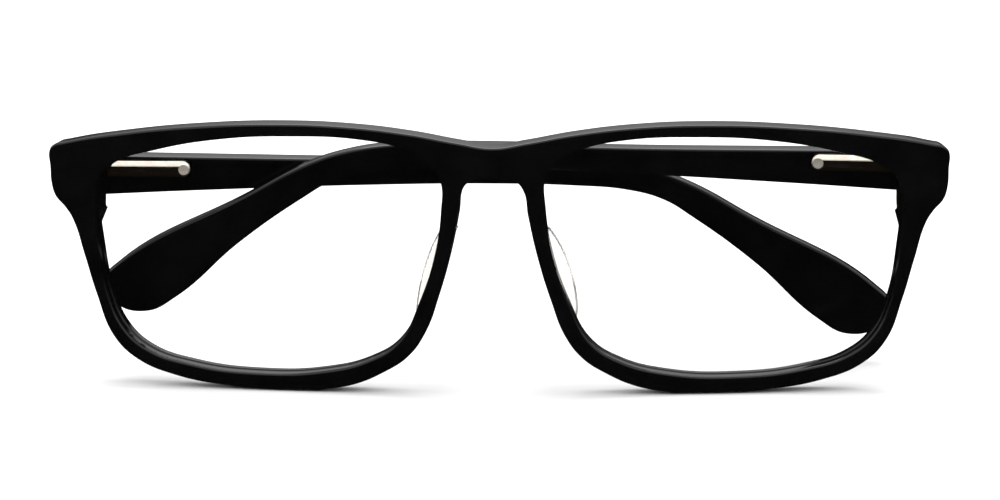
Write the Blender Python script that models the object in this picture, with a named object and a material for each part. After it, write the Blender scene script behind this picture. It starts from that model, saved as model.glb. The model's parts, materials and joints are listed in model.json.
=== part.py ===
"""Eyeglasses frame: an acetate front, two folded temples on spring hinges, and clear nose pads.

The front stands upright and faces -Y, with its rims' lowest point at z = 0. The temples lie
folded behind it. Right is +X. Lengths are in millimetres and are turned into metres by MM.
"""
from math import cos, pi, radians, sin

import bmesh
import bpy
from mathutils import Matrix, Vector

MM = 0.001
SIDES = ((1, "right"), (-1, "left"))
MARGIN = 1.0               # how far a cutter reaches past the piece it cuts
KNUCKLE_SIDES = 20
RING_SIDES = 16
ROD_SIDES = 12
COIL_SIDES = 10            # points on each turn of a spring

# Front
FRONT_THICKNESS = 4.0
FRONT_EDGE = 0.45          # chamfer round the front's outline and openings
WRAP_RADIUS = 400.0        # radius of the front's curve, seen from above
BLOCK_DEPTH = 6.7          # thickness of the end pieces, where the hinges are let in
BLOCK_EDGE = 0.35
BLOCK_SLOPE_SHARE = 0.85
BLOCK_SLOPE = 3.5          # height of the slope below each block, down to the rim
WRAP_STEP = 8.0            # width of each flat strip of that curve
FRONT_FACE_Y = -12.75      # where the front's face is at the bridge
GROOVE_WIDTH = 0.9         # lens groove round each opening
GROOVE_DEPTH = 0.65
GROOVE_MARGIN = 0.06       # how far the groove's lips start inside the rim

# Hinge
HINGE_X = 66.5
HINGE_Y = 13.7             # behind the front's face at the bridge
HINGE_Z = {1: 35.25, -1: 34.15}
KNUCKLE_RADIUS = 1.15
KNUCKLE_GAP = 0.15
CENTRE_KNUCKLE = 1.4       # height of the temple's knuckle
OUTER_KNUCKLE = 1.15       # height of each of the front's two knuckles
SCREW_RADIUS = 0.6
SCREW_HOLE = 0.68
WEB_WIDTH = 1.7            # between a knuckle and its leaf
FOLD_ANGLE = {1: 91.6, -1: 86.8}    # from open to folded; the left temple lies over the right one
PITCH_ANGLE = {1: 1.3, -1: -0.85}    # how far each temple's line rises towards its tip

# Front hinge's leaf
LEAF_INNER = 65.2
LEAF_OUTER = 69.4
LEAF_FLOOR = FRONT_FACE_Y + 10.75
LEAF_THICKNESS = 0.9
LEAF_HEIGHT = 4.2
POCKET_REACH = 1.44        # how far the pocket goes on past the leaf, out through the acetate
STUD_PLACES = (66.2, 68.4)
STUD_RADIUS = 0.5
STUD_LENGTH = 1.1
HEAD_GAP = 0.1
HEAD_HEIGHT = 0.6
HEAD_RADIUS = 0.95
HEAD_TAPER = 0.15
SLOT_WIDTH = 0.25
SLOT_FLOOR = 0.3

# Temple, in its own frame: +Y towards the tip, +X outwards, the hinge's axis at the origin
TEMPLE_INNER = 1.2
TEMPLE_THICKNESS = 3.8
TEMPLE_EDGE = 0.5
TAPER = 0.5                # how much thinner the temple gets, between these two places
TAPER_START = 18.0
TAPER_END = 88.0
MITRE_SLOPE = 0.175        # of the butt, which meets the curved end piece when open
CHANNEL_RADIUS = 0.75
WIRE_RADIUS = 0.5

# Spring housing, in the temple's frame
HOUSING_START = 1.5
HOUSING_LENGTH = 14.2
HOUSING_HEIGHT = 2.6
HOUSING_DEPTH = 3.0
HOUSING_CENTRE_X = 0.6     # also the rod's line
HOUSING_CHAMFER = 0.45
BORE_RADIUS = 0.95
BORE_LENGTH = 12.6
BUSH_RADIUS = 0.88
BUSH_LENGTH = 1.5
BUSH_START = 1.7
ROD_RADIUS = 0.4
ROD_END = 11.6
NUT_START = 10.4
NUT_LENGTH = 1.1
NUT_RADIUS = 0.78
SPRING_RADIUS = 0.66       # to the middle of the spring's wire
SPRING_WIRE = 0.15
SPRING_START = 3.5
SPRING_END = 10.1
SPRING_TURNS = 7
NECK_START = 0.3           # the slider's neck, between its knuckle and the housing
NECK_GAP = 0.15
NECK_WIDTH = 1.3
NECK_OFFSET = -0.1
BUSH_CLEARANCE = 0.06      # round the rod
NUT_CLEARANCE = 0.04
POCKET_OPENING = 0.72      # how far the housing's pocket goes on through the temple's inner face
BUTT_GAP = 0.3             # between the open temple's butt and the end piece
FIT_GAP = 0.12             # round metal pieces that are let into the acetate

# Points of the front's right half, x and z, from the top of the bridge round to its underside
OUTLINE_HALF = [
    (5.5, 41.2), (13.0, 42.55), (23.0, 43.65), (34.5, 43.95), (48.0, 43.25), (60.0, 41.85), (70.0, 40.05),
    (72.0, 39.45), (72.6, 38.65), (72.6, 35.9), (72.45, 32.9), (71.85, 31.0), (70.2, 29.1), (69.1, 27.3),
    (67.35, 21.45), (65.5, 14.85), (62.9, 8.0), (59.2, 4.35), (52.6, 1.75), (43.3, 0.3), (37.0, 0.0),
    (29.0, 0.0), (22.9, 1.15), (17.9, 3.35), (14.1, 5.9), (11.35, 9.6), (9.2, 15.3), (7.05, 22.6),
    (5.6, 29.4), (4.9, 33.4), (3.6, 34.9),
]
BRIDGE_TOP = (0.0, 40.4)
BRIDGE_ARCH = (0.0, 35.3)
FLAT_POINTS = (20, 21)     # the two points of the outline that a straight foot lies between

# Points of the right lens opening, x and z, from its upper nasal corner round by its top
OPENING = [
    (8.4, 35.0), (10.3, 38.0), (14.0, 40.0), (21.0, 41.5), (33.0, 41.9), (44.0, 41.2), (55.0, 39.1),
    (61.8, 36.8), (64.6, 34.2), (65.4, 29.7), (65.0, 23.3), (63.5, 14.7), (61.2, 9.5), (57.4, 6.1),
    (50.0, 3.8), (38.5, 2.7), (28.0, 3.3), (20.4, 5.3), (15.5, 8.5), (12.0, 15.2), (9.5, 22.7),
    (8.35, 30.0),
]

# Points of the thicker block behind the right end piece, x and z, round by its top
BLOCK = [
    (65.5, 29.0), (64.9, 34.0), (62.3, 37.0), (57.5, 39.0), (57.5, 41.4), (66.0, 40.5), (70.0, 39.65),
    (71.6, 39.15), (72.15, 38.5), (72.2, 35.9), (72.05, 33.1), (71.4, 31.2), (69.8, 29.2), (68.6, 27.4),
    (67.6, 24.9), (65.8, 24.9),
]
BLOCK_CORNERS = (3, 4)

# Points of a temple's side, y and z, from the top of its butt, along the top and back
TEMPLE_SIDE = [
    (-1.4, 2.0), (20.0, 1.75), (45.0, 1.55), (70.0, 1.7), (83.0, 1.4), (91.5, 0.0), (98.0, -2.3),
    (108.0, -7.75), (129.0, -19.55), (131.6, -23.0), (129.5, -26.4), (124.4, -27.6), (119.5, -25.1),
    (109.0, -15.7), (98.5, -8.0), (93.5, -5.0), (87.5, -3.4), (79.0, -2.75), (66.0, -2.5),
    (45.0, -2.85), (20.0, -3.8), (-1.4, -4.8),
]
BUTT_POINTS = (0, 21)
WIRE_ROUTE = [
    (2.0, 14.8, 0.0), (2.5, 19.0, -0.6), (2.9, 24.0, -1.0), (2.9, 45.0, -0.9), (2.9, 70.0, -0.6),
    (2.9, 83.0, -0.8), (2.9, 91.5, -2.0), (2.9, 98.5, -5.2), (2.9, 108.5, -11.9), (2.9, 120.0, -20.2),
]

# Nose pad, in its own frame: +X up along the rim, +Y away from the front
PAD_SIDE = [(-9.0, 0.0), (-8.2, 2.0), (-4.5, 4.5), (1.0, 5.2), (6.0, 3.6), (8.6, 1.4), (9.0, 0.0)]
PAD_THICKNESS = 2.0
PAD_EDGE = 0.55
PAD_CENTRE = (9.3, 4.45, 18.5)
PAD_LEAN = 17.0            # from upright, along the nasal rim
PAD_SPLAY = 22.0           # how far it opens towards the face


def clear_scene():
    for item in list(bpy.data.objects):
        bpy.data.objects.remove(item)


def make_collection(name):
    collection = bpy.data.collections.new(name)
    bpy.context.scene.collection.children.link(collection)
    return collection


def make_material(name, color, roughness, metallic=0.0, alpha=1.0):
    material = bpy.data.materials.new(name)
    material.use_nodes = True
    shader = material.node_tree.nodes["Principled BSDF"]
    shader.inputs["Base Color"].default_value = (*color, 1.0)
    shader.inputs["Roughness"].default_value = roughness
    shader.inputs["Metallic"].default_value = metallic
    shader.inputs["Alpha"].default_value = alpha
    return material


def add_object(name, mesh, collection, material=None, parent=None):
    item = bpy.data.objects.new(name, mesh)
    collection.objects.link(item)
    item.parent = parent
    if material:
        mesh.materials.clear()
        mesh.materials.append(material)
        mesh.shade_smooth()
        mesh.set_sharp_from_angle(angle=radians(32))
    return item


def add_cutter(name, mesh, parent=None):
    cutter = add_object(name, mesh, CUTTERS, parent=parent)
    cutter.hide_render = True
    cutter.display_type = "WIRE"
    return cutter


def cut(item, *cutters):
    for cutter in cutters:
        modifier = item.modifiers.new("cut_" + cutter.name, "BOOLEAN")
        modifier.operation = "DIFFERENCE"
        modifier.object = cutter


def join(item, *additions):
    for addition in additions:
        modifier = item.modifiers.new("join_" + addition.name, "BOOLEAN")
        modifier.operation = "UNION"
        modifier.object = addition


def mirrored(mesh, side):
    """Turns a right-hand mesh into the left-hand one where side is -1."""
    if side < 0:
        mesh.transform(Matrix.Scale(-1, 4, (1, 0, 0)))
        mesh.flip_normals()
    return mesh


def mesh_from(bm, name):
    bmesh.ops.recalc_face_normals(bm, faces=bm.faces)
    mesh = bpy.data.meshes.new(name)
    bm.to_mesh(mesh)
    bm.free()
    return mesh


def mesh_of_curve(curve):
    """The curve's surface as a mesh, with its caps welded on."""
    guide = bpy.data.objects.new(curve.name, curve)
    CUTTERS.objects.link(guide)
    bpy.context.view_layer.update()
    evaluated = guide.evaluated_get(bpy.context.evaluated_depsgraph_get())
    mesh = bpy.data.meshes.new_from_object(evaluated)
    bpy.data.objects.remove(guide)
    bm = bmesh.new()
    bm.from_mesh(mesh)
    bmesh.ops.remove_doubles(bm, verts=bm.verts, dist=0.000001)
    bpy.data.meshes.remove(mesh)
    return bm


def plate(name, points, thickness, edge=0.0, resolution=3, sharp=()):
    """A flat plate in the XY plane, from a smooth closed outline in millimetres."""
    curve = bpy.data.curves.new(name, "CURVE")
    curve.dimensions = "2D"
    curve.fill_mode = "BOTH"
    curve.extrude = thickness / 2 * MM
    curve.resolution_u = resolution
    for loop in points:
        spline = curve.splines.new("BEZIER")
        spline.use_cyclic_u = True
        spline.bezier_points.add(len(loop) - 1)
        for index, (knot, (x, y)) in enumerate(zip(spline.bezier_points, loop)):
            knot.co = (x * MM, y * MM, 0)
            kind = "VECTOR" if loop is points[0] and index in sharp else "AUTO"
            knot.handle_left_type = knot.handle_right_type = kind
    bm = mesh_of_curve(curve)
    bmesh.ops.dissolve_limit(bm, angle_limit=radians(0.1), verts=bm.verts, edges=bm.edges)
    if edge:
        rims = [e for e in bm.edges if e.is_manifold and e.calc_face_angle() > radians(60)
                and abs(e.verts[0].co.z - e.verts[1].co.z) < 1e-7]
        bmesh.ops.bevel(bm, geom=rims, offset=edge * MM, offset_type="OFFSET", segments=1,
                        affect="EDGES")
    return bm


def box_mesh(name, low, high, edge=0.0):
    """A box between two corners in millimetres."""
    bm = bmesh.new()
    bmesh.ops.create_cube(bm, size=1)
    size = [(b - a) * MM for a, b in zip(low, high)]
    middle = [(a + b) / 2 * MM for a, b in zip(low, high)]
    bmesh.ops.transform(bm, matrix=Matrix.LocRotScale(Vector(middle), None, Vector(size)),
                        verts=bm.verts)
    if edge:
        bmesh.ops.bevel(bm, geom=bm.edges[:], offset=edge * MM, segments=1, affect="EDGES")
    return mesh_from(bm, name)


def cylinder_mesh(name, radius, start, end, sides, top_radius=None):
    """A round bar between two points in millimetres."""
    start, end = Vector(start) * MM, Vector(end) * MM
    bm = bmesh.new()
    bmesh.ops.create_cone(bm, cap_ends=True, segments=sides, radius1=radius * MM,
                          radius2=(radius if top_radius is None else top_radius) * MM,
                          depth=(end - start).length)
    turn = (end - start).to_track_quat("Z", "Y").to_matrix().to_4x4()
    bmesh.ops.transform(bm, matrix=Matrix.Translation((start + end) / 2) @ turn, verts=bm.verts)
    return mesh_from(bm, name)


def wire_mesh(name, points, radius):
    """A tube along straight runs between points in millimetres."""
    curve = bpy.data.curves.new(name, "CURVE")
    curve.dimensions = "3D"
    curve.bevel_depth = radius * MM
    curve.bevel_resolution = 2
    curve.use_fill_caps = True
    spline = curve.splines.new("POLY")
    spline.points.add(len(points) - 1)
    for knot, point in zip(spline.points, points):
        knot.co = (*(Vector(point) * MM), 1)
    return mesh_from(mesh_of_curve(curve), name)


def smooth_route(knots, steps):
    """Points along a Catmull-Rom curve through the knots."""
    knots = [Vector(k) for k in knots]
    ends = [2 * knots[0] - knots[1], *knots, 2 * knots[-1] - knots[-2]]
    route = []
    for a, b, c, d in zip(ends, ends[1:], ends[2:], ends[3:]):
        for step in range(steps):
            t = step / steps
            route.append(0.5 * (2 * b + (c - a) * t + (2 * a - 5 * b + 4 * c - d) * t * t
                                + (3 * b - a - 3 * c + d) * t ** 3))
    return [*route, knots[-1]]


def wrap_depth(x):
    """How far the front curves back at a distance x from its middle."""
    return x * x / (2 * WRAP_RADIUS)


def stand_and_wrap(bm, depth=FRONT_THICKNESS / 2):
    """Stands a flat plate upright, slices it into strips and curves it back at both ends."""
    bmesh.ops.transform(bm, matrix=Matrix.Rotation(pi / 2, 4, "X"), verts=bm.verts)
    bmesh.ops.translate(bm, verts=bm.verts, vec=(0, (FRONT_FACE_Y + depth) * MM, 0))
    strips = int(max(x for x, _ in OUTLINE_HALF) / WRAP_STEP)
    for index in range(-strips, strips + 1):
        bmesh.ops.bisect_plane(bm, geom=bm.verts[:] + bm.edges[:] + bm.faces[:], dist=1e-8,
                               plane_co=(index * WRAP_STEP * MM, 0, 0), plane_no=(1, 0, 0))
    for vertex in bm.verts:
        behind_face = vertex.co.y / MM - FRONT_FACE_Y
        position = abs(vertex.co.x) / MM / WRAP_STEP
        whole = int(position)
        near, far = wrap_depth(whole * WRAP_STEP), wrap_depth((whole + 1) * WRAP_STEP)
        vertex.co.y += (near + (far - near) * (position - whole)) * MM
        vertex.co.x *= 1 - behind_face / WRAP_RADIUS


def groove_cutter(word, rim):
    """A thin ring with a V edge, a little wider than the opening, for the lens groove."""
    bm = plate("groove_" + word, [rim], GROOVE_WIDTH)
    walls = [f for f in bm.faces if abs(f.normal.z) < 0.5]
    middle = bmesh.ops.bisect_plane(bm, geom=bm.verts[:] + bm.edges[:] + walls, dist=1e-8,
                                    plane_co=(0, 0, 0), plane_no=(0, 0, 1))
    crest = [v for v in middle["geom_cut"] if isinstance(v, bmesh.types.BMVert)]
    centre = sum((v.co for v in crest), Vector()) / len(crest)
    grow = {v: (v.co - centre).normalized() for v in bm.verts}
    for vertex, way in grow.items():
        out = GROOVE_DEPTH if vertex in crest else GROOVE_MARGIN
        vertex.co += Vector((way.x, way.y, 0)) * out * MM
    stand_and_wrap(bm)
    return add_cutter("groove_" + word, mesh_from(bm, "groove_" + word))


def hinge_block(side, word):
    """The thicker part behind an end piece, with a slope below it."""
    half = BLOCK_DEPTH - FRONT_THICKNESS / 2
    bm = plate("hinge_block_" + word, [BLOCK], half, BLOCK_EDGE, sharp=BLOCK_CORNERS)
    lowest = min(z for _, z in BLOCK)
    for vertex in bm.verts:
        # before it stands up, the plate's lower side is its back
        rise = lowest + BLOCK_SLOPE - vertex.co.y / MM
        if vertex.co.z < 0 and rise > 0:
            vertex.co.y += rise * BLOCK_SLOPE_SHARE * MM
    stand_and_wrap(bm, BLOCK_DEPTH - half / 2)
    mesh = mirrored(mesh_from(bm, "hinge_block_" + word), side)
    return add_cutter("hinge_block_" + word, mesh)


def build_front():
    """Rims, bridge and end pieces in one acetate piece, with lens grooves and hinge pockets."""
    left_half = [(-x, z) for x, z in reversed(OUTLINE_HALF)]
    outer = [BRIDGE_TOP, *OUTLINE_HALF, BRIDGE_ARCH, *left_half]
    feet = [index + 1 for index in FLAT_POINTS]
    feet += [len(outer) - index for index in feet]
    rims = {side: [(side * x, z) for x, z in OPENING] for side, _ in SIDES}
    bm = plate("front_plate", [outer, *rims.values()], FRONT_THICKNESS, FRONT_EDGE, sharp=feet)
    stand_and_wrap(bm)
    front = add_object("front", mesh_from(bm, "front"), PARTS, ACETATE)
    for side, word in SIDES:
        join(front, hinge_block(side, word))
        cut(front, groove_cutter(word, rims[side]), *leaf_cutters(side, word))


def leaf_box(side, word, gap):
    """The hinge leaf's plate, or with a gap the pocket that it lies in."""
    z = HINGE_Z[side]
    low = (LEAF_INNER - gap, LEAF_FLOOR - gap, z - LEAF_HEIGHT / 2 - gap)
    back = LEAF_FLOOR + LEAF_THICKNESS + (POCKET_REACH if gap else 0)
    high = (LEAF_OUTER + gap, back, z + LEAF_HEIGHT / 2 + gap)
    return mirrored(box_mesh("leaf_" + word, low, high), side)


def leaf_studs(side, word, gap):
    """The two studs that anchor the leaf in the acetate, or with a gap their holes."""
    for x in STUD_PLACES:
        start = (x, LEAF_FLOOR + LEAF_THICKNESS / 2, HINGE_Z[side])
        end = (x, LEAF_FLOOR - STUD_LENGTH - gap, HINGE_Z[side])
        yield mirrored(cylinder_mesh("stud_" + word, STUD_RADIUS + gap, start, end, ROD_SIDES), side)


def leaf_cutters(side, word):
    cutters = [leaf_box(side, word, FIT_GAP), *leaf_studs(side, word, FIT_GAP)]
    return [add_cutter("leaf_space_" + word, mesh) for mesh in cutters]


def barrel(name, side, z_low, z_high):
    """A knuckle about the hinge's axis, in the shared frame."""
    ends = [(HINGE_X, FRONT_FACE_Y + HINGE_Y, HINGE_Z[side] + z) for z in (z_low, z_high)]
    return mirrored(cylinder_mesh(name, KNUCKLE_RADIUS, *ends, sides=KNUCKLE_SIDES), side)


def build_front_hinge(side, word):
    """The leaf let into the end piece, with its two knuckles."""
    leaf = add_object("front_hinge_" + word, leaf_box(side, word, 0), PARTS, NICKEL)
    pieces = list(leaf_studs(side, word, 0))
    inner = CENTRE_KNUCKLE / 2 + KNUCKLE_GAP
    axis_y = FRONT_FACE_Y + HINGE_Y
    for way in (-1, 1):
        low, high = sorted((way * inner, way * (inner + OUTER_KNUCKLE)))
        pieces.append(barrel("knuckle_" + word, side, low, high))
        z = HINGE_Z[side]
        web = box_mesh("web_" + word, (HINGE_X - WEB_WIDTH / 2, LEAF_FLOOR + LEAF_THICKNESS / 2, z + low),
                       (HINGE_X + WEB_WIDTH / 2, axis_y, z + high))
        pieces.append(mirrored(web, side))
    join(leaf, *[add_cutter("leaf_piece_" + word, mesh) for mesh in pieces])
    tall = inner + OUTER_KNUCKLE + MARGIN
    hole = [(HINGE_X, axis_y, HINGE_Z[side] + z) for z in (-tall, tall)]
    hole_mesh = mirrored(cylinder_mesh("screw_hole_" + word, SCREW_HOLE, *hole, sides=KNUCKLE_SIDES), side)
    cut(leaf, add_cutter("screw_hole_" + word, hole_mesh))


def build_hinge_screw(side, word):
    """The slotted screw that pins the hinge, with its head on the upper knuckle."""
    tall = CENTRE_KNUCKLE / 2 + KNUCKLE_GAP + OUTER_KNUCKLE
    axis = (HINGE_X, FRONT_FACE_Y + HINGE_Y)
    head_low = HINGE_Z[side] + tall + HEAD_GAP
    wide = HEAD_RADIUS + MARGIN
    shank = cylinder_mesh("shank_" + word, SCREW_RADIUS, (*axis, HINGE_Z[side] - tall),
                          (*axis, head_low + HEAD_HEIGHT / 2), sides=KNUCKLE_SIDES)
    screw = add_object("hinge_screw_" + word, mirrored(shank, side), PARTS, STEEL)
    head = cylinder_mesh("head_" + word, HEAD_RADIUS, (*axis, head_low),
                         (*axis, head_low + HEAD_HEIGHT), KNUCKLE_SIDES, top_radius=HEAD_RADIUS - HEAD_TAPER)
    slot = box_mesh("slot_" + word, (axis[0] - wide, axis[1] - SLOT_WIDTH / 2, head_low + SLOT_FLOOR),
                    (axis[0] + wide, axis[1] + SLOT_WIDTH / 2, head_low + HEAD_HEIGHT + MARGIN))
    join(screw, add_cutter("head_" + word, mirrored(head, side)))
    cut(screw, add_cutter("slot_" + word, mirrored(slot, side)))


def temple_frame(side, word):
    """An empty on the hinge's axis, turned to the folded temple's line."""
    empty = bpy.data.objects.new("temple_frame_" + word, None)
    CUTTERS.objects.link(empty)
    empty.location = Vector((side * HINGE_X, FRONT_FACE_Y + HINGE_Y, HINGE_Z[side])) * MM
    fold = Matrix.Rotation(side * radians(FOLD_ANGLE[side]), 4, "Z")
    pitch = Matrix.Rotation(radians(PITCH_ANGLE[side]), 4, "X")
    empty.rotation_euler = (fold @ pitch).to_euler()
    bpy.context.view_layer.update()
    return empty


def build_slider(side, word, frame):
    """The temple's knuckle with its rod, which the spring holds into the housing."""
    half = CENTRE_KNUCKLE / 2
    x = HOUSING_CENTRE_X
    knuckle = cylinder_mesh("slider_" + word, KNUCKLE_RADIUS, (0, 0, -half), (0, 0, half),
                            KNUCKLE_SIDES)
    slider = add_object("slider_" + word, mirrored(knuckle, side), PARTS, NICKEL, frame)
    middle = x + NECK_OFFSET
    neck = box_mesh("neck_" + word, (middle - NECK_WIDTH / 2, NECK_START, -half),
                    (middle + NECK_WIDTH / 2, HOUSING_START - NECK_GAP, half))
    rod = cylinder_mesh("rod_" + word, ROD_RADIUS, (x, HOUSING_START - MARGIN / 2, 0),
                        (x, ROD_END, 0), ROD_SIDES)
    tall = half + MARGIN
    hole = cylinder_mesh("knuckle_hole_" + word, SCREW_HOLE, (0, 0, -tall), (0, 0, tall),
                         KNUCKLE_SIDES)
    join(slider, *[add_cutter("slider_piece_" + word, mirrored(m, side), frame)
                   for m in (neck, rod)])
    cut(slider, add_cutter("knuckle_hole_" + word, mirrored(hole, side), frame))


def round_piece(name, side, radius, hole, start, length, material, frame):
    """A ring round the rod's line."""
    x = HOUSING_CENTRE_X
    ring = cylinder_mesh(name, radius, (x, start, 0), (x, start + length, 0), RING_SIDES)
    item = add_object(name, mirrored(ring, side), PARTS, material, frame)
    bore = cylinder_mesh(name + "_bore", hole, (x, start - MARGIN, 0), (x, start + length + MARGIN, 0),
                         ROD_SIDES)
    cut(item, add_cutter(name + "_bore", mirrored(bore, side), frame))


def build_spring(side, word, frame):
    """The compression spring between the guide bush and the rod's nut."""
    count = SPRING_TURNS * COIL_SIDES
    rise = (SPRING_END - SPRING_START - 2 * SPRING_WIRE) / count
    points = []
    for index in range(count + 1):
        turn = 2 * pi * index / COIL_SIDES
        points.append((side * HOUSING_CENTRE_X + SPRING_RADIUS * cos(turn),
                       SPRING_START + SPRING_WIRE + rise * index, SPRING_RADIUS * sin(turn)))
    mesh = wire_mesh("spring_" + word, points, SPRING_WIRE)
    add_object("spring_" + word, mesh, PARTS, STEEL, frame)


def housing_box(name, gap, edge):
    x, z = HOUSING_CENTRE_X, HOUSING_HEIGHT / 2
    low = (x - HOUSING_DEPTH / 2 - (POCKET_OPENING if gap else 0), HOUSING_START - gap, -z - gap)
    high = (x + HOUSING_DEPTH / 2 + gap, HOUSING_START + HOUSING_LENGTH + gap, z + gap)
    return box_mesh(name, low, high, edge)


def build_spring_housing(side, word, frame):
    """The chamfered bar on the temple's inner side, bored for the spring."""
    x = HOUSING_CENTRE_X
    body = mirrored(housing_box("spring_housing_" + word, 0, HOUSING_CHAMFER), side)
    housing = add_object("spring_housing_" + word, body, PARTS, NICKEL, frame)
    bore = cylinder_mesh("bore_" + word, BORE_RADIUS, (x, HOUSING_START - MARGIN, 0),
                         (x, HOUSING_START + BORE_LENGTH, 0), RING_SIDES)
    cut(housing, add_cutter("bore_" + word, mirrored(bore, side), frame))


def thin_outer_side(bm):
    """Slopes the temple's outer face inwards between the two places where its taper runs."""
    for y in (TAPER_START, TAPER_END):
        bmesh.ops.bisect_plane(bm, geom=bm.verts[:] + bm.edges[:] + bm.faces[:], dist=1e-8,
                               plane_co=(0, y * MM, 0), plane_no=(0, 1, 0))
    for vertex in bm.verts:
        if vertex.co.x > (TEMPLE_INNER + TEMPLE_THICKNESS / 2) * MM:
            share = (vertex.co.y / MM - TAPER_START) / (TAPER_END - TAPER_START)
            vertex.co.x -= TAPER * min(1, max(0, share)) * MM


def build_temple(side, word, frame):
    """The acetate arm, with a pocket for the housing and a channel for the core wire."""
    bm = plate("temple_" + word, [TEMPLE_SIDE], TEMPLE_THICKNESS, TEMPLE_EDGE, sharp=BUTT_POINTS)
    # the plate's x, y and z become the temple's y, z and x
    turn = Matrix(((0, 0, 1, 0), (1, 0, 0, 0), (0, 1, 0, 0), (0, 0, 0, 1)))
    centre = Vector((TEMPLE_INNER + TEMPLE_THICKNESS / 2, 0, 0)) * MM
    bmesh.ops.transform(bm, matrix=Matrix.Translation(centre) @ turn, verts=bm.verts)
    thin_outer_side(bm)
    for vertex in [v for v in bm.verts if v.co.y < 0]:
        across = vertex.co.x / MM - TEMPLE_INNER
        mitre = wrap_depth((HINGE_X + TEMPLE_INNER) / (1 - BLOCK_DEPTH / WRAP_RADIUS)) + MITRE_SLOPE * across
        vertex.co.y += (mitre + BLOCK_DEPTH + BUTT_GAP - HINGE_Y - TEMPLE_SIDE[0][0]) * MM
    mesh = mirrored(mesh_from(bm, "temple_" + word), side)
    temple = add_object("temple_" + word, mesh, PARTS, ACETATE, frame)
    channel = wire_mesh("channel_" + word, smooth_route(WIRE_ROUTE, 3), CHANNEL_RADIUS)
    pocket = housing_box("pocket_" + word, FIT_GAP, 0)
    cut(temple, *[add_cutter("temple_space_" + word, mirrored(m, side), frame)
                  for m in (pocket, channel)])


def build_core_wire(side, word, frame):
    """The steel wire that lets the temple's tip be shaped."""
    route = smooth_route(WIRE_ROUTE, 3)[2:-1]
    mesh = mirrored(wire_mesh("core_wire_" + word, route, WIRE_RADIUS), side)
    add_object("core_wire_" + word, mesh, PARTS, STEEL, frame)


def build_nose_pad(side, word):
    """A clear pad on the back of the nasal rim."""
    bm = plate("nose_pad_" + word, [PAD_SIDE], PAD_THICKNESS, PAD_EDGE, sharp=(0, len(PAD_SIDE) - 1))
    # the plate's x, y and z become up, back and sideways
    upright = Matrix(((0, 0, 1, 0), (0, 1, 0, 0), (1, 0, 0, 0), (0, 0, 0, 1)))
    splay = Matrix.Rotation(-radians(PAD_SPLAY), 4, "Z")
    lean = Matrix.Rotation(-radians(PAD_LEAN), 4, "Y")
    x, y, z = PAD_CENTRE
    place = Matrix.Translation(Vector((x, FRONT_FACE_Y + y, z)) * MM)
    bmesh.ops.transform(bm, matrix=place @ lean @ splay @ upright, verts=bm.verts)
    mesh = mirrored(mesh_from(bm, "nose_pad_" + word), side)
    add_object("nose_pad_" + word, mesh, PARTS, CLEAR)


clear_scene()
PARTS = make_collection("eyeglasses_frame")
CUTTERS = make_collection("cutters")
ACETATE = make_material("black_acetate", (0.006, 0.006, 0.007), 0.12)
CLEAR = make_material("clear_pad", (0.85, 0.87, 0.86), 0.1, alpha=0.4)
NICKEL = make_material("nickel_silver", (0.72, 0.69, 0.64), 0.25, 1.0)
STEEL = make_material("steel", (0.55, 0.55, 0.56), 0.3, 1.0)
build_front()
for hand, hand_word in SIDES:
    axis_frame = temple_frame(hand, hand_word)
    build_nose_pad(hand, hand_word)
    build_front_hinge(hand, hand_word)
    build_hinge_screw(hand, hand_word)
    build_slider(hand, hand_word, axis_frame)
    round_piece("guide_bush_" + hand_word, hand, BUSH_RADIUS, ROD_RADIUS + BUSH_CLEARANCE, BUSH_START,
                BUSH_LENGTH, STEEL, axis_frame)
    round_piece("rod_nut_" + hand_word, hand, NUT_RADIUS, ROD_RADIUS + NUT_CLEARANCE, NUT_START,
                NUT_LENGTH, STEEL, axis_frame)
    build_spring(hand, hand_word, axis_frame)
    build_spring_housing(hand, hand_word, axis_frame)
    build_temple(hand, hand_word, axis_frame)
    build_core_wire(hand, hand_word, axis_frame)
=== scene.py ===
"""Looks of the eyeglasses frame: polished black acetate, clear pads and nickel-silver spring hinges.

Lengths are in millimetres and are turned into metres by MM. Right is +X and the front faces -Y.
"""
import json
from math import cos, pi, radians, sin

import bmesh
import bpy
from mathutils import Matrix, Vector


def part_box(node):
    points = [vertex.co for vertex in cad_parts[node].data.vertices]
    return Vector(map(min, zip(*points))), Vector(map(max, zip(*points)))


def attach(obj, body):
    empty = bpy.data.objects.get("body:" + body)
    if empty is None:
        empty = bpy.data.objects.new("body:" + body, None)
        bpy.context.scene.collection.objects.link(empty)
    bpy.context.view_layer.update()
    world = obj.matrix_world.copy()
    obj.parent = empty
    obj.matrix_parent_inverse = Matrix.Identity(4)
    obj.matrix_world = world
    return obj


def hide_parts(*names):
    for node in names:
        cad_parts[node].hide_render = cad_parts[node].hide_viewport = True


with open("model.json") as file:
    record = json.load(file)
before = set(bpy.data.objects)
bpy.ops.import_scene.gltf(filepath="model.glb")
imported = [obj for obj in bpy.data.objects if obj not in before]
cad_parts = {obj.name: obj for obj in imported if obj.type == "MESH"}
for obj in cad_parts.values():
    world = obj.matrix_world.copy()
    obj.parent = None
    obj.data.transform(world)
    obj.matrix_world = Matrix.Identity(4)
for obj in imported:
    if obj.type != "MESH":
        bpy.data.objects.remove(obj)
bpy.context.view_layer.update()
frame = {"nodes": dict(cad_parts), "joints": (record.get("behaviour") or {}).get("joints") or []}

MM = 0.001
WELD_DISTANCE = 1e-6       # in metres, as is the next one
LEVEL_TOLERANCE = 1e-7
STRAIGHT_ANGLE = 0.05      # edges flatter than this are dissolved
RIM_ANGLE = 60             # a plate's rims are sharper than this
FACE_WEIGHT = 60           # how far shading follows the large faces
SIDES = ((1, "right"), (-1, "left"))
JOINTS = {joint["name"]: joint for joint in frame["joints"]}
FACE_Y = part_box("front")[0].y / MM      # the front's face at the bridge

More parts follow.
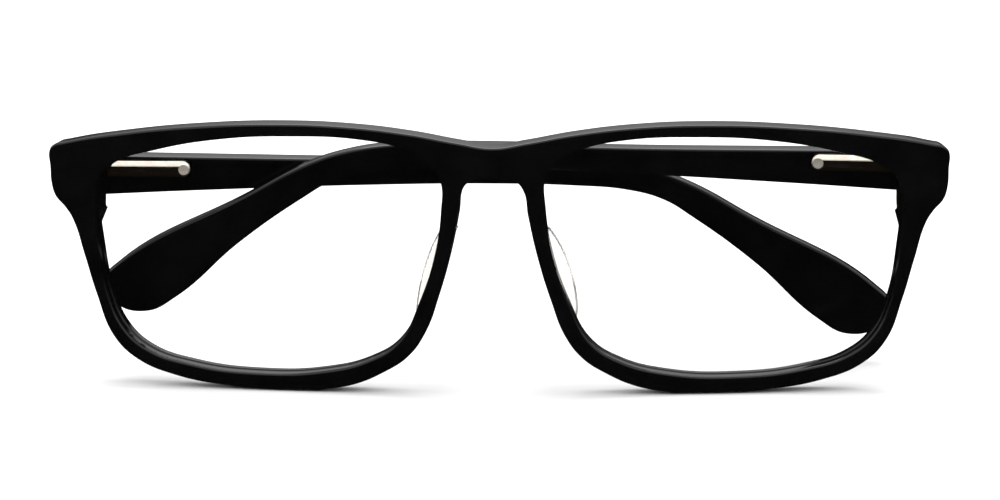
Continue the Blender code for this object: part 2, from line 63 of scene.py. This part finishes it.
# Front
FRONT_THICKNESS = 4.0
FRONT_EDGE = 0.42
WRAP_RADIUS = 400.0
WRAP_STEP = 2.0
BLOCK_DEPTH = 6.7
BLOCK_EDGE = 0.5
BLOCK_SLOPE = 3.5
BLOCK_SLOPE_SHARE = 0.85
GROOVE_WIDTH = 0.9
GROOVE_DEPTH = 0.65
GROOVE_MARGIN = 0.06
LEAF_HEIGHT = 4.2
POCKET_BEHIND = 1.0        # how far the leaf's pocket reaches past the hinge's axis

# Points of the front's right half, x and z, from the top of the bridge round to its underside
OUTLINE_HALF = [
    (5.5, 41.2), (13.0, 42.55), (23.0, 43.65), (34.5, 43.95), (48.0, 43.25), (60.0, 41.85), (70.0, 40.05),
    (72.0, 39.45), (72.6, 38.65), (72.6, 35.9), (72.45, 32.9), (71.85, 31.0), (70.2, 29.1), (69.1, 27.3),
    (67.35, 21.45), (65.5, 14.85), (62.9, 8.0), (59.2, 4.35), (52.6, 1.75), (43.3, 0.3), (37.0, 0.0),
    (29.0, 0.0), (22.9, 1.15), (17.9, 3.35), (14.1, 5.9), (11.35, 9.6), (9.2, 15.3), (7.05, 22.6),
    (5.6, 29.4), (4.9, 33.4), (3.6, 34.9),
]
BRIDGE_TOP = (0.0, 40.4)
BRIDGE_ARCH = (0.0, 35.3)
FLAT_POINTS = (20, 21)

# Points of the right lens opening, x and z, from its upper nasal corner round by its top
OPENING = [
    (8.4, 35.0), (10.3, 38.0), (14.0, 40.0), (21.0, 41.5), (33.0, 41.9), (44.0, 41.2), (55.0, 39.1),
    (61.8, 36.8), (64.6, 34.2), (65.4, 29.7), (65.0, 23.3), (63.5, 14.7), (61.2, 9.5), (57.4, 6.1),
    (50.0, 3.8), (38.5, 2.7), (28.0, 3.3), (20.4, 5.3), (15.5, 8.5), (12.0, 15.2), (9.5, 22.7),
    (8.35, 30.0),
]

# Points of the thicker block behind the right end piece, x and z, round by its top
BLOCK = [
    (65.5, 29.0), (64.9, 34.0), (62.3, 37.0), (57.5, 39.0), (57.5, 41.4), (66.0, 40.5), (70.0, 39.65),
    (71.6, 39.15), (72.15, 38.5), (72.2, 35.9), (72.05, 33.1), (71.4, 31.2), (69.8, 29.2), (68.6, 27.4),
    (67.6, 24.9), (65.8, 24.9),
]
BLOCK_CORNERS = (3, 4)

# Temple, in its own frame: +Y towards the tip, +X outwards, the hinge's axis at the origin
TEMPLE_INNER = 1.2
TEMPLE_THICKNESS = 3.8
TEMPLE_EDGE = 0.5
TAPER = 0.5
TAPER_START = 18.0
TAPER_END = 88.0
MITRE_SLOPE = 0.175
BUTT_GAP = 0.3
TEMPLE_SIDE = [
    (-1.4, 2.0), (20.0, 1.75), (45.0, 1.55), (70.0, 1.7), (83.0, 1.4), (91.5, 0.0), (98.0, -2.3),
    (108.0, -7.75), (129.0, -19.55), (131.6, -23.0), (129.5, -26.4), (124.4, -27.6), (119.5, -25.1),
    (109.0, -15.7), (98.5, -8.0), (93.5, -5.0), (87.5, -3.4), (79.0, -2.75), (66.0, -2.5),
    (45.0, -2.85), (20.0, -3.8), (-1.4, -4.8),
]
BUTT_POINTS = (0, 21)
SLICES = range(18, 130, 4)      # cuts across the arm, for the taper

# Spring housing, in the temple's frame
HOUSING_START = 1.5
HOUSING_LENGTH = 14.2
HOUSING_HEIGHT = 2.6
HOUSING_DEPTH = 3.0
HOUSING_CENTRE_X = 0.6
HOUSING_CHAMFER = 0.7
FIT_GAP = 0.12
POCKET_OPENING = 0.72      # how far the pocket's cutter stands out of the inner side
BORE_RADIUS = 0.95
BORE_LENGTH = 12.6
BORE_SIDES = 32
END_STEPS = 24             # round the bar's end
CREST_ANGLE = 25
CREST_ROUND = 0.06
BUTTON_RADIUS = 0.85       # the flat round facet on the bar's end
BUTTON_RISE = 0.16
BUTTON_TILT = 16.0
BUTTON_SHIFT = 0.3
BUTTON_SIDES = 48

# Nose pad, in its own frame: +X up along the rim, +Y away from the front
PAD_SIDE = [(-9.0, 0.0), (-8.2, 2.0), (-4.5, 4.5), (1.0, 5.2), (6.0, 3.6), (8.6, 1.4), (9.0, 0.0)]
PAD_THICKNESS = 2.0
PAD_EDGE = 0.55
PAD_CENTRE = (9.3, 4.45, 18.5)
PAD_LEAN = 17.0
PAD_SPLAY = 22.0


# ---- materials -------------------------------------------------------------------------------

def new_material(name):
    """A node material with its nodes and links."""
    material = bpy.data.materials.new(name)
    material.use_nodes = True
    return material, material.node_tree.nodes, material.node_tree.links


def noise(nodes, links, scale, detail=3.0, stretch=(1, 1, 1)):
    """A noise pattern in the object's own space, with its scale per metre."""
    place = nodes.new("ShaderNodeTexCoord")
    mapping = nodes.new("ShaderNodeMapping")
    mapping.inputs["Scale"].default_value = stretch
    pattern = nodes.new("ShaderNodeTexNoise")
    pattern.inputs["Scale"].default_value = scale
    pattern.inputs["Detail"].default_value = detail
    links.new(place.outputs["Object"], mapping.inputs["Vector"])
    links.new(mapping.outputs["Vector"], pattern.inputs["Vector"])
    return pattern.outputs["Fac"]


def span(nodes, links, value, low, high, start=0.35, end=0.65):
    """Maps a pattern's middle range to the values between low and high."""
    node = nodes.new("ShaderNodeMapRange")
    node.inputs["From Min"].default_value = start
    node.inputs["From Max"].default_value = end
    node.inputs["To Min"].default_value = low
    node.inputs["To Max"].default_value = high
    links.new(value, node.inputs["Value"])
    return node.outputs["Result"]


def ramp(nodes, links, value, stops):
    """A colour ramp over a pattern, from (position, colour) stops."""
    node = nodes.new("ShaderNodeValToRGB")
    for element, (position, color) in zip(node.color_ramp.elements, (stops[0], stops[-1])):
        element.position = position
        element.color = (*color, 1)
    for position, color in stops[1:-1]:
        node.color_ramp.elements.new(position).color = (*color, 1)
    links.new(value, node.inputs["Fac"])
    return node.outputs["Color"]


def bump(nodes, links, value, shader, strength, distance):
    """Turns a pattern into fine relief on the shader."""
    node = nodes.new("ShaderNodeBump")
    node.inputs["Strength"].default_value = strength
    node.inputs["Distance"].default_value = distance
    links.new(value, node.inputs["Height"])
    links.new(node.outputs["Normal"], shader.inputs["Normal"])


def black_acetate():
    """Tumble-polished black: a faint cloud in the colour, fine rub marks in the gloss."""
    material, nodes, links = new_material("black_acetate")
    shader = nodes["Principled BSDF"]
    cloud = noise(nodes, links, 160, 4)
    blacks = [(0.3, (0.0016, 0.0016, 0.0018)), (0.7, (0.0032, 0.0031, 0.0034))]
    links.new(ramp(nodes, links, cloud, blacks), shader.inputs["Base Color"])
    rub = noise(nodes, links, 900, 5, (1, 1, 3))
    links.new(span(nodes, links, rub, 0.11, 0.19), shader.inputs["Roughness"])
    shader.inputs["Specular IOR Level"].default_value = 0.4
    shader.inputs["IOR"].default_value = 1.48
    wave = noise(nodes, links, 240, 2)
    bump(nodes, links, wave, shader, 0.12, 0.00004)
    return material


def clear_pad():
    """Clear, slightly warm acetate with a soft gloss."""
    material, nodes, links = new_material("clear_pad")
    shader = nodes["Principled BSDF"]
    cloud = noise(nodes, links, 220, 3)
    links.new(ramp(nodes, links, cloud, [(0.3, (0.93, 0.90, 0.85)), (0.7, (0.97, 0.95, 0.91))]),
              shader.inputs["Base Color"])
    links.new(span(nodes, links, cloud, 0.08, 0.16), shader.inputs["Roughness"])
    shader.inputs["IOR"].default_value = 1.48
    shader.inputs["Transmission Weight"].default_value = 0.92
    bump(nodes, links, noise(nodes, links, 500, 2), shader, 0.1, 0.00003)
    return material


def nickel_silver(name, smoothest, roughest):
    """Warm nickel silver with fine lengthwise brushing."""
    material, nodes, links = new_material(name)
    shader = nodes["Principled BSDF"]
    shader.inputs["Metallic"].default_value = 1.0
    stain = noise(nodes, links, 700, 4)
    links.new(ramp(nodes, links, stain, [(0.3, (0.66, 0.60, 0.50)), (0.7, (0.78, 0.73, 0.64))]),
              shader.inputs["Base Color"])
    brush = noise(nodes, links, 2500, 3, (0.12, 1, 1))
    links.new(span(nodes, links, brush, smoothest, roughest), shader.inputs["Roughness"])
    bump(nodes, links, brush, shader, 0.15, 0.00002)
    return material


def steel():
    """Plain machined steel for the screws, springs and bushes."""
    material, nodes, links = new_material("steel")
    shader = nodes["Principled BSDF"]
    shader.inputs["Metallic"].default_value = 1.0
    stain = noise(nodes, links, 1200, 4)
    links.new(ramp(nodes, links, stain, [(0.3, (0.42, 0.42, 0.43)), (0.7, (0.60, 0.60, 0.61))]),
              shader.inputs["Base Color"])
    links.new(span(nodes, links, noise(nodes, links, 3000, 3, (1, 0.2, 1)), 0.2, 0.38),
              shader.inputs["Roughness"])
    return material


def pale_floor():
    """A matt white sweep with hardly any mottle."""
    material, nodes, links = new_material("pale_floor")
    shader = nodes["Principled BSDF"]
    mottle = noise(nodes, links, 30, 2)
    links.new(ramp(nodes, links, mottle, [(0.3, (0.90, 0.90, 0.90)), (0.7, (0.93, 0.93, 0.93))]),
              shader.inputs["Base Color"])
    links.new(span(nodes, links, mottle, 0.85, 0.95), shader.inputs["Roughness"])
    shader.inputs["Specular IOR Level"].default_value = 0.0
    return material


# ---- mesh helpers ----------------------------------------------------------------------------

def mesh_from(bm, name):
    """A mesh with outward normals from an edit mesh, which is freed."""
    bmesh.ops.recalc_face_normals(bm, faces=bm.faces)
    mesh = bpy.data.meshes.new(name)
    bm.to_mesh(mesh)
    bm.free()
    return mesh


def add_object(name, mesh, material=None):
    """A new object in the scene, with its material."""
    item = bpy.data.objects.new(name, mesh)
    bpy.context.scene.collection.objects.link(item)
    if material:
        mesh.materials.clear()
        mesh.materials.append(material)
    return item


def mirrored(mesh, side):
    """Turns a right-hand mesh into the left-hand one where side is -1."""
    if side < 0:
        mesh.transform(Matrix.Scale(-1, 4, (1, 0, 0)))
        mesh.flip_normals()
    return mesh


def applied(item):
    """Replaces the object's mesh with its evaluated one, and drops the modifiers."""
    bpy.context.view_layer.update()
    mesh = bpy.data.meshes.new_from_object(item.evaluated_get(bpy.context.evaluated_depsgraph_get()))
    item.modifiers.clear()
    item.data = mesh


def combine(item, operation, *meshes):
    """Joins or cuts the object with closed meshes, by exact Booleans."""
    for mesh in meshes:
        tool = add_object("tool", mesh)
        modifier = item.modifiers.new("combine", "BOOLEAN")
        modifier.operation = operation
        modifier.object = tool
        applied(item)
        bpy.data.objects.remove(tool)


def polish(item, angle=32):
    """Smooth shading that follows the large faces, so that flat areas stay flat."""
    item.data.shade_smooth()
    item.data.set_sharp_from_angle(angle=radians(angle))
    modifier = item.modifiers.new("weighted_normals", "WEIGHTED_NORMAL")
    modifier.keep_sharp = True
    modifier.weight = FACE_WEIGHT


def plate(name, loops, thickness, edge=0.0, resolution=12, sharp=(), segments=3):
    """A flat plate in the XY plane with rounded rims, from smooth closed outlines."""
    curve = bpy.data.curves.new(name, "CURVE")
    curve.dimensions = "2D"
    curve.fill_mode = "BOTH"
    curve.extrude = thickness / 2 * MM
    curve.resolution_u = resolution
    for loop in loops:
        spline = curve.splines.new("BEZIER")
        spline.use_cyclic_u = True
        spline.bezier_points.add(len(loop) - 1)
        for index, (knot, (x, y)) in enumerate(zip(spline.bezier_points, loop)):
            knot.co = (x * MM, y * MM, 0)
            kind = "VECTOR" if loop is loops[0] and index in sharp else "AUTO"
            knot.handle_left_type = knot.handle_right_type = kind
    guide = bpy.data.objects.new(name, curve)
    bpy.context.scene.collection.objects.link(guide)
    bpy.context.view_layer.update()
    source = bpy.data.meshes.new_from_object(guide.evaluated_get(bpy.context.evaluated_depsgraph_get()))
    bpy.data.objects.remove(guide)
    bm = bmesh.new()
    bm.from_mesh(source)
    bmesh.ops.remove_doubles(bm, verts=bm.verts, dist=WELD_DISTANCE)
    bmesh.ops.dissolve_limit(bm, angle_limit=radians(STRAIGHT_ANGLE), verts=bm.verts, edges=bm.edges,
                             delimit={"NORMAL"})
    if edge:
        rims = [e for e in bm.edges if e.is_manifold and e.calc_face_angle() > radians(RIM_ANGLE)
                and abs(e.verts[0].co.z - e.verts[1].co.z) < LEVEL_TOLERANCE]
        bmesh.ops.bevel(bm, geom=rims, offset=edge * MM, offset_type="OFFSET", segments=segments,
                        profile=0.5, affect="EDGES")
    return bm


def slice_at(bm, places, axis):
    """Cuts the mesh's faces along planes across one axis."""
    normal = Vector((axis == 0, axis == 1, axis == 2))
    for place in places:
        bmesh.ops.bisect_plane(bm, geom=bm.verts[:] + bm.edges[:] + bm.faces[:], dist=1e-8,
                               plane_co=normal * place * MM, plane_no=normal)


# ---- front -----------------------------------------------------------------------------------

def wrap_depth(x):
    """How far the front curves back at a distance x from its middle."""
    return x * x / (2 * WRAP_RADIUS)


def stand_and_wrap(bm, depth=FRONT_THICKNESS / 2):
    """Stands a flat plate upright, slices it into strips and curves it back at both ends."""
    bmesh.ops.transform(bm, matrix=Matrix.Rotation(pi / 2, 4, "X"), verts=bm.verts)
    bmesh.ops.translate(bm, verts=bm.verts, vec=(0, (FACE_Y + depth) * MM, 0))
    strips = int(max(x for x, _ in OUTLINE_HALF) / WRAP_STEP)
    slice_at(bm, [index * WRAP_STEP for index in range(-strips, strips + 1)], 0)
    for vertex in bm.verts:
        behind_face = vertex.co.y / MM - FACE_Y
        vertex.co.y += wrap_depth(vertex.co.x / MM) * MM
        vertex.co.x *= 1 - behind_face / WRAP_RADIUS


def groove_mesh(word, rim):
    """A thin ring with a V edge, a little wider than the opening, for the lens groove."""
    bm = plate("groove_" + word, [rim], GROOVE_WIDTH)
    slice_at(bm, [0], 2)
    centre = sum((v.co for v in bm.verts), Vector()) / len(bm.verts)
    for vertex in bm.verts:
        way = (vertex.co - centre).normalized()
        out = GROOVE_DEPTH if abs(vertex.co.z) < 1e-6 else GROOVE_MARGIN
        vertex.co += Vector((way.x, way.y, 0)) * out * MM
    stand_and_wrap(bm)
    return mesh_from(bm, "groove_" + word)


def hinge_block(side, word):
    """The thicker part behind an end piece, with a slope below it."""
    half = BLOCK_DEPTH - FRONT_THICKNESS / 2
    bm = plate("hinge_block_" + word, [BLOCK], half, BLOCK_EDGE, sharp=BLOCK_CORNERS)
    lowest = min(z for _, z in BLOCK)
    for vertex in bm.verts:
        # before it stands up, the plate's lower side is its back
        rise = lowest + BLOCK_SLOPE - vertex.co.y / MM
        if vertex.co.z < 0 and rise > 0:
            vertex.co.y += rise * BLOCK_SLOPE_SHARE * MM
    stand_and_wrap(bm, BLOCK_DEPTH - half / 2)
    return mirrored(mesh_from(bm, "hinge_block_" + word), side)


def leaf_pocket(word):
    """The room for the hinge leaf, a little larger than the leaf and as deep as its studs."""
    low, high = (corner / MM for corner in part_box("front_hinge_" + word))
    _, axis_y, axis_z = (value / MM for value in JOINTS["fold_" + word]["pos_m"])
    half = LEAF_HEIGHT / 2 + FIT_GAP
    return box_mesh("leaf_pocket_" + word, (low.x - FIT_GAP, low.y - FIT_GAP, axis_z - half),
                    (high.x + FIT_GAP, axis_y + POCKET_BEHIND, axis_z + half))


def box_mesh(name, low, high):
    """A box between two corners."""
    bm = bmesh.new()
    bmesh.ops.create_cube(bm, size=1)
    size = [(b - a) * MM for a, b in zip(low, high)]
    middle = [(a + b) / 2 * MM for a, b in zip(low, high)]
    bmesh.ops.transform(bm, matrix=Matrix.LocRotScale(Vector(middle), None, Vector(size)),
                        verts=bm.verts)
    return mesh_from(bm, name)


def build_front(material):
    """Rims, bridge and end pieces in one polished piece, with lens grooves and hinge pockets."""
    left_half = [(-x, z) for x, z in reversed(OUTLINE_HALF)]
    outer = [BRIDGE_TOP, *OUTLINE_HALF, BRIDGE_ARCH, *left_half]
    feet = [index + 1 for index in FLAT_POINTS]
    feet += [len(outer) - index for index in feet]
    rims = {side: [(side * x, z) for x, z in OPENING] for side, _ in SIDES}
    bm = plate("front_plate", [outer, *rims.values()], FRONT_THICKNESS, FRONT_EDGE, sharp=feet)
    stand_and_wrap(bm)
    front = add_object("acetate_front", mesh_from(bm, "acetate_front"), material)
    for side, word in SIDES:
        combine(front, "UNION", hinge_block(side, word))
        combine(front, "DIFFERENCE", groove_mesh(word, rims[side]), leaf_pocket(word))
    front.data.materials.clear()
    front.data.materials.append(material)
    polish(front)
    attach(front, "root")
    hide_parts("front")


# ---- temples ---------------------------------------------------------------------------------

def temple_matrix(word):
    """From the temple's own frame to the shared one."""
    hinge, slide = JOINTS["fold_" + word], JOINTS["flex_" + word]
    along = Vector(slide["axis"]).normalized()
    across = along.cross(Vector((0, 0, 1))).normalized()
    upward = across.cross(along)
    turn = Matrix((across, along, upward)).transposed().to_4x4()
    return Matrix.Translation(Vector(hinge["pos_m"])) @ turn


def build_temple(side, word, material):
    """The arm with its rounded edges, mitred butt and pocket for the housing."""
    bm = plate("temple_" + word, [TEMPLE_SIDE], TEMPLE_THICKNESS, TEMPLE_EDGE, sharp=BUTT_POINTS)
    # the plate's x, y and z become the temple's y, z and x
    turn = Matrix(((0, 0, 1, 0), (1, 0, 0, 0), (0, 1, 0, 0), (0, 0, 0, 1)))
    centre = Vector((TEMPLE_INNER + TEMPLE_THICKNESS / 2, 0, 0)) * MM
    bmesh.ops.transform(bm, matrix=Matrix.Translation(centre) @ turn, verts=bm.verts)
    temple = add_object("acetate_temple_" + word, mesh_from(bm, "acetate_temple"), material)
    combine(temple, "DIFFERENCE", housing_pocket(word))
    bm = bmesh.new()
    bm.from_mesh(temple.data)
    slice_at(bm, SLICES, 1)
    hinge = JOINTS["fold_" + word]["pos_m"]
    hinge_depth = hinge[1] / MM - FACE_Y
    for vertex in bm.verts:
        across, along = vertex.co.x / MM - TEMPLE_INNER, vertex.co.y / MM
        if across > TEMPLE_THICKNESS / 2:
            share = min(1, max(0, (along - TAPER_START) / (TAPER_END - TAPER_START)))
            vertex.co.x -= TAPER * share * MM
        if along < 0:
            start = (abs(hinge[0]) / MM + TEMPLE_INNER) / (1 - BLOCK_DEPTH / WRAP_RADIUS)
            mitre = wrap_depth(start) + MITRE_SLOPE * across
            vertex.co.y += (mitre + BLOCK_DEPTH + BUTT_GAP - hinge_depth - TEMPLE_SIDE[0][0]) * MM
    temple.data = mirrored(mesh_from(bm, "acetate_temple"), side)
    temple.data.transform(temple_matrix(word))
    temple.data.materials.clear()
    temple.data.materials.append(material)
    polish(temple)
    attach(temple, "temple_" + word)
    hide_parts("temple_" + word)


def housing_pocket(word):
    """What is cut from the temple's inner side to make room for the housing."""
    x, z = HOUSING_CENTRE_X, HOUSING_HEIGHT / 2
    low = (x - HOUSING_DEPTH / 2 - POCKET_OPENING, HOUSING_START - FIT_GAP, -z - FIT_GAP)
    high = (x + HOUSING_DEPTH / 2 + FIT_GAP, HOUSING_START + HOUSING_LENGTH + FIT_GAP, z + FIT_GAP)
    return box_mesh("pocket_" + word, low, high)


def bar_mesh(inner, centre):
    """A bar with a round end, chamfered round its inner face."""
    radius = HOUSING_HEIGHT / 2
    outline = [(HOUSING_START, -radius)]
    outline += [(centre + radius * sin(pi * i / END_STEPS), -radius * cos(pi * i / END_STEPS))
                for i in range(END_STEPS + 1)]
    outline.append((HOUSING_START, radius))
    bm = bmesh.new()
    near = [bm.verts.new(Vector((inner, along, height)) * MM) for along, height in outline]
    grown = bmesh.ops.extrude_face_region(bm, geom=[bm.faces.new(near)])
    far = [v for v in grown["geom"] if isinstance(v, bmesh.types.BMVert)]
    bmesh.ops.translate(bm, verts=far, vec=(HOUSING_DEPTH * MM, 0, 0))
    rim = [e for e in bm.edges if all(abs(v.co.x - inner * MM) < LEVEL_TOLERANCE for v in e.verts)]
    bmesh.ops.bevel(bm, geom=rim, offset=HOUSING_CHAMFER * MM, segments=1, affect="EDGES")
    crests = [e for e in bm.edges if e.is_manifold and e.calc_face_angle() > radians(CREST_ANGLE)]
    bmesh.ops.bevel(bm, geom=crests, offset=CREST_ROUND * MM, segments=2, affect="EDGES")
    return mesh_from(bm, "housing")


def round_mesh(name, place, turn, sides, wide, narrow, length):
    """A round plug about a place, with a wide and a narrow end."""
    bm = bmesh.new()
    matrix = Matrix.Translation(Vector(place) * MM) @ turn
    bmesh.ops.create_cone(bm, cap_ends=True, segments=sides, radius1=wide * MM, radius2=narrow * MM,
                          depth=length * MM, matrix=matrix)
    return mesh_from(bm, name)


def build_housing(side, word, material, satin):
    """The bored bar on the temple's inner side, with a flat button on its round end."""
    inner = HOUSING_CENTRE_X - HOUSING_DEPTH / 2
    centre = HOUSING_START + HOUSING_LENGTH - HOUSING_HEIGHT / 2
    housing = add_object("housing_" + word, mirrored(bar_mesh(inner, centre), side), material)
    bore = round_mesh("bore", (HOUSING_CENTRE_X, HOUSING_START, 0), Matrix.Rotation(pi / 2, 4, "X"),
                      BORE_SIDES, BORE_RADIUS, BORE_RADIUS, 2 * BORE_LENGTH)
    combine(housing, "DIFFERENCE", mirrored(bore, side))
    housing.data.materials.clear()
    housing.data.materials.append(material)
    housing.data.transform(temple_matrix(word))
    polish(housing, 25)
    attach(housing, "temple_" + word)
    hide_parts("spring_housing_" + word)
    facing = Matrix.Rotation(radians(BUTTON_TILT) - pi / 2, 4, "Y")
    facet = round_mesh("button", (inner, centre + BUTTON_SHIFT, 0), facing, BUTTON_SIDES,
                       BUTTON_RADIUS + BUTTON_RISE, BUTTON_RADIUS, 2 * BUTTON_RISE)
    button = add_object("housing_end_" + word, mirrored(facet, side), satin)
    button.data.transform(temple_matrix(word))
    polish(button, 40)
    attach(button, "temple_" + word)


# ---- nose pads -------------------------------------------------------------------------------

def build_nose_pad(side, word, material):
    """A clear pad on the back of the nasal rim."""
    ends = (0, len(PAD_SIDE) - 1)
    bm = plate("nose_pad_" + word, [PAD_SIDE], PAD_THICKNESS, PAD_EDGE, sharp=ends, segments=4)
    # the plate's x, y and z become up, back and sideways
    upright = Matrix(((0, 0, 1, 0), (0, 1, 0, 0), (1, 0, 0, 0), (0, 0, 0, 1)))
    splay = Matrix.Rotation(-radians(PAD_SPLAY), 4, "Z")
    lean = Matrix.Rotation(-radians(PAD_LEAN), 4, "Y")
    x, y, z = PAD_CENTRE
    place = Matrix.Translation(Vector((x, FACE_Y + y, z)) * MM)
    bmesh.ops.transform(bm, matrix=place @ lean @ splay @ upright, verts=bm.verts)
    pad = add_object("pad_" + word, mirrored(mesh_from(bm, "pad"), side), material)
    polish(pad, 50)
    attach(pad, "root")
    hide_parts("nose_pad_" + word)


# ---- stage -----------------------------------------------------------------------------------

CAMERA_AZIMUTH = 4.3
CAMERA_ELEVATION = 13.2
CAMERA_DISTANCE = 0.55
CAMERA_ROLL = 0.7
CAMERA_LENS = 123.75
CAMERA_SHIFT = (0.0067, 0.014)
SENSOR_WIDTH = 36.0
NEAREST = 0.01             # metres, as are the other lengths of the stage
FLOOR_SIZE = 6.0
FLOOR_GAP = 0.0002
LIGHT_PLACE = (0, 0.25, 0.9)
LIGHT_AIM = (0, 0, 0.02)
LIGHT_SIZE = 0.6
LIGHT_POWER = 6
SKY_STRENGTH = 1.25
AIM = (0.0, FACE_Y * MM, 0.02155)

# the room's brightness against the height of the line of sight: dark floor side, bright ceiling
SKY = [
    (0.0, (0.006, 0.005, 0.004)), (0.05, (0.03, 0.03, 0.03)), (0.2, (0.4, 0.4, 0.4)),
    (0.4, (0.85, 0.85, 0.85)), (0.7, (1.1, 1.1, 1.1)),
]


def build_camera():
    """The camera, from its bearing, height and roll about the aim."""
    azimuth, elevation = radians(CAMERA_AZIMUTH), radians(CAMERA_ELEVATION)
    backward = Vector((sin(azimuth) * cos(elevation), -cos(azimuth) * cos(elevation), sin(elevation)))
    right = Vector((0, 0, 1)).cross(backward).normalized()
    upward = backward.cross(right)
    roll = radians(-CAMERA_ROLL)
    right, upward = right * cos(roll) + upward * sin(roll), upward * cos(roll) - right * sin(roll)
    camera = bpy.data.objects.new("camera", bpy.data.cameras.new("camera"))
    bpy.context.scene.collection.objects.link(camera)
    camera.matrix_world = Matrix.Translation(Vector(AIM) + backward * CAMERA_DISTANCE) @ Matrix(
        (right, upward, backward)).transposed().to_4x4()
    camera.data.lens = CAMERA_LENS
    camera.data.sensor_width = SENSOR_WIDTH
    camera.data.shift_x, camera.data.shift_y = CAMERA_SHIFT
    camera.data.clip_start = NEAREST
    bpy.context.scene.camera = camera


def add_light():
    """One soft light above and behind the frame."""
    light = bpy.data.lights.new("overhead", "AREA")
    light.energy = LIGHT_POWER
    light.size = LIGHT_SIZE
    item = bpy.data.objects.new("overhead", light)
    bpy.context.scene.collection.objects.link(item)
    item.location = LIGHT_PLACE
    item.rotation_euler = (Vector(LIGHT_AIM) - Vector(LIGHT_PLACE)).to_track_quat("-Z", "Y").to_euler()


def build_stage():
    """The floor, the room's light and the soft light."""
    bm = bmesh.new()
    bmesh.ops.create_grid(bm, x_segments=8, y_segments=8, size=FLOOR_SIZE)
    floor = add_object("floor", mesh_from(bm, "floor"), pale_floor())
    floor.location.z = -FLOOR_GAP
    floor.visible_glossy = False        # polished faces mirror the dark room below the horizon
    world = bpy.context.scene.world or bpy.data.worlds.new("world")
    bpy.context.scene.world = world
    world.use_nodes = True
    nodes, links = world.node_tree.nodes, world.node_tree.links
    background = nodes["Background"]
    background.inputs["Strength"].default_value = SKY_STRENGTH
    direction = nodes.new("ShaderNodeTexCoord")
    parts = nodes.new("ShaderNodeSeparateXYZ")
    links.new(direction.outputs["Generated"], parts.inputs["Vector"])
    sky = ramp(nodes, links, parts.outputs["Z"], SKY)
    links.new(sky, background.inputs["Color"])
    add_light()


bpy.context.scene.view_settings.view_transform = "Standard"
build_stage()
build_camera()
ACETATE = black_acetate()
CLEAR = clear_pad()
NICKEL = nickel_silver("nickel_silver", 0.10, 0.2)
SATIN = nickel_silver("satin_nickel_silver", 0.45, 0.6)
STEEL = steel()
build_front(ACETATE)
for hand, hand_word in SIDES:
    build_temple(hand, hand_word, ACETATE)
    build_housing(hand, hand_word, NICKEL, SATIN)
    build_nose_pad(hand, hand_word, CLEAR)

# the hinges, sliders, screws, bushes, nuts, springs and wires stay as the CAD made them
for node in frame["nodes"].values():
    if not node.hide_render:
        is_nickel = node.name.startswith(("front_hinge", "slider"))
        node.data.materials.clear()
        node.data.materials.append(NICKEL if is_nickel else STEEL)
